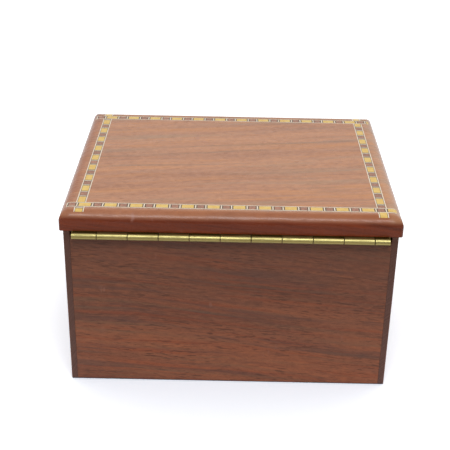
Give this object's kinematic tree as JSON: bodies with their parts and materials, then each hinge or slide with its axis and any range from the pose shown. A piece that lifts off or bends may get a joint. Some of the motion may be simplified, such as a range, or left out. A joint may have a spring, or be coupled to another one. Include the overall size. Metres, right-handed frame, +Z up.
{
  "type": "puzzle box",
  "caption": "Wooden puzzle box with a rounded, inlaid lid on a brass piano hinge along its rear edge and a hidden spin lock inside.",
  "frame": {"origin": "on the table plane, at the centre of the closed box's footprint, hinge barrel and lid overhangs included", "axes": "+X to the right seen from the front, +Y to the back (the hinge side), +Z up"},
  "size_m": [0.2234, 0.189, 0.1293],
  "materials": {
    "case_wood": "oiled walnut, satin",
    "lid_wood": "oiled walnut, polished",
    "banding": "inlay banding of dyed and natural veneers, polished",
    "lock_wood": "bare maple",
    "lock_metal": "drawn rod, plain",
    "hinge_brass": "rolled, bright",
    "screw_brass": "bright"
  },
  "bodies": {
    "case": {"front_panel": "case_wood", "rear_panel": "case_wood", "left_side": "case_wood", "right_side": "case_wood", "bottom_panel": "case_wood", "hinge_box_leaf": "hinge_brass", "hinge_pin": "hinge_brass", "hinge_box_screw_1": "screw_brass", "hinge_box_screw_2": "screw_brass", "hinge_box_screw_3": "screw_brass", "hinge_box_screw_4": "screw_brass", "hinge_box_screw_5": "screw_brass", "lock_block": "lock_wood", "lock_plug_left": "lock_wood", "lock_plug_right": "lock_wood", "lock_block_screw_left": "screw_brass", "lock_block_screw_right": "screw_brass"},
    "lid": {"lid_panel": "lid_wood", "banding_front": "banding", "banding_rear": "banding", "banding_left_front_stub": "banding", "banding_left_run": "banding", "banding_left_rear_stub": "banding", "banding_right_front_stub": "banding", "banding_right_run": "banding", "banding_right_rear_stub": "banding", "hinge_lid_leaf": "hinge_brass", "hinge_lid_screw_1": "screw_brass", "hinge_lid_screw_2": "screw_brass", "hinge_lid_screw_3": "screw_brass", "hinge_lid_screw_4": "screw_brass", "hinge_lid_screw_5": "screw_brass", "lid_tongue": "lock_wood"},
    "left_pin": {"lock_pin_left": "lock_metal"},
    "right_pin": {"lock_pin_right": "lock_metal"}
  },
  "joints": [
    {"name": "lid_hinge", "type": "hinge", "parent": "case", "child": "lid", "pos_m": [0, 0.09235, 0.11385], "axis": [-1, 0, 0], "range_deg": [0, 200]},
    {"name": "left_pin_slide", "type": "slide", "parent": "case", "child": "left_pin", "axis": [1, 0, 0], "range_m": [0, 0.0048]},
    {"name": "right_pin_slide", "type": "slide", "parent": "case", "child": "right_pin", "axis": [-1, 0, 0], "range_m": [0, 0.0048]}
  ]
}
